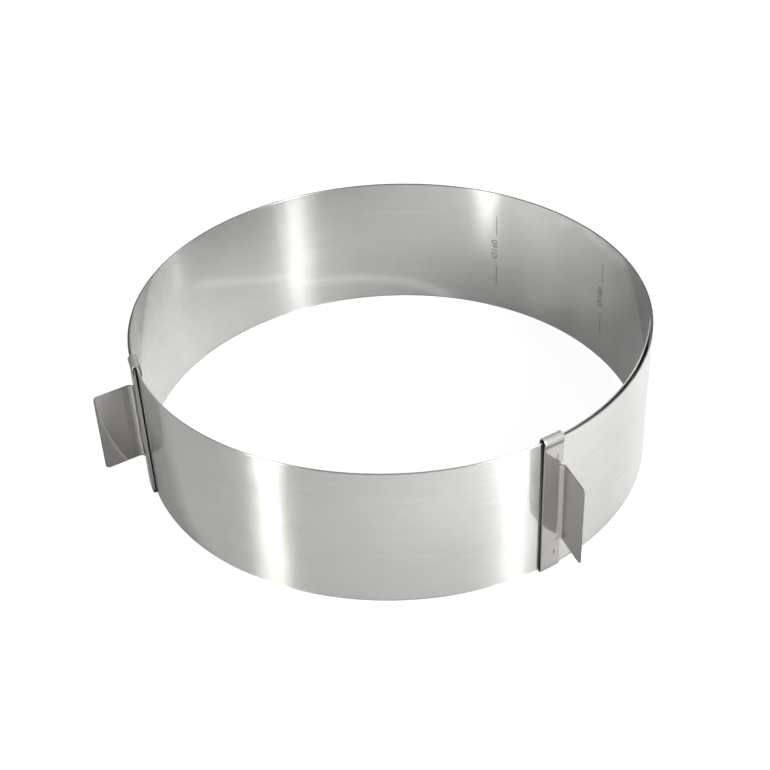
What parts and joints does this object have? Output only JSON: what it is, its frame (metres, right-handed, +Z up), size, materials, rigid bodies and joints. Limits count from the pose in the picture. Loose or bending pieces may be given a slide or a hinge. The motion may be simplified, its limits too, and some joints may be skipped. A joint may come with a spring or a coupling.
{
  "type": "adjustable cake ring",
  "caption": "Bottomless round cake ring of thin steel whose inner band slides inside the outer one through folded handle clips to change the diameter.",
  "frame": {"origin": "middle of the bounding box in plan, at the level of the clips' feet that the ring stands on", "axes": "+Z up along the ring's axis, the open front between the two handles towards -Y, the right-hand handle towards +X"},
  "size_m": [0.2048, 0.2032, 0.0619],
  "materials": {
    "outer_band_steel": "bright rolled stainless steel with soft streaky reflections",
    "inner_band_steel": "bright rolled stainless steel with soft streaky reflections",
    "clip_steel": "bright rolled stainless steel, slightly duller at the folds"
  },
  "bodies": {
    "outer_ring": {"outer_band": "outer_band_steel", "right_handle_clip": "clip_steel", "left_handle_clip": "clip_steel"},
    "sliding_band": {"inner_band": "inner_band_steel"}
  },
  "joints": [
    {"name": "inner_band_slide", "type": "hinge", "parent": "outer_ring", "child": "sliding_band", "pos_m": [0, -0.0008, 0.03], "axis": [0, 0, 1], "range_deg": [-46, 18]}
  ]
}
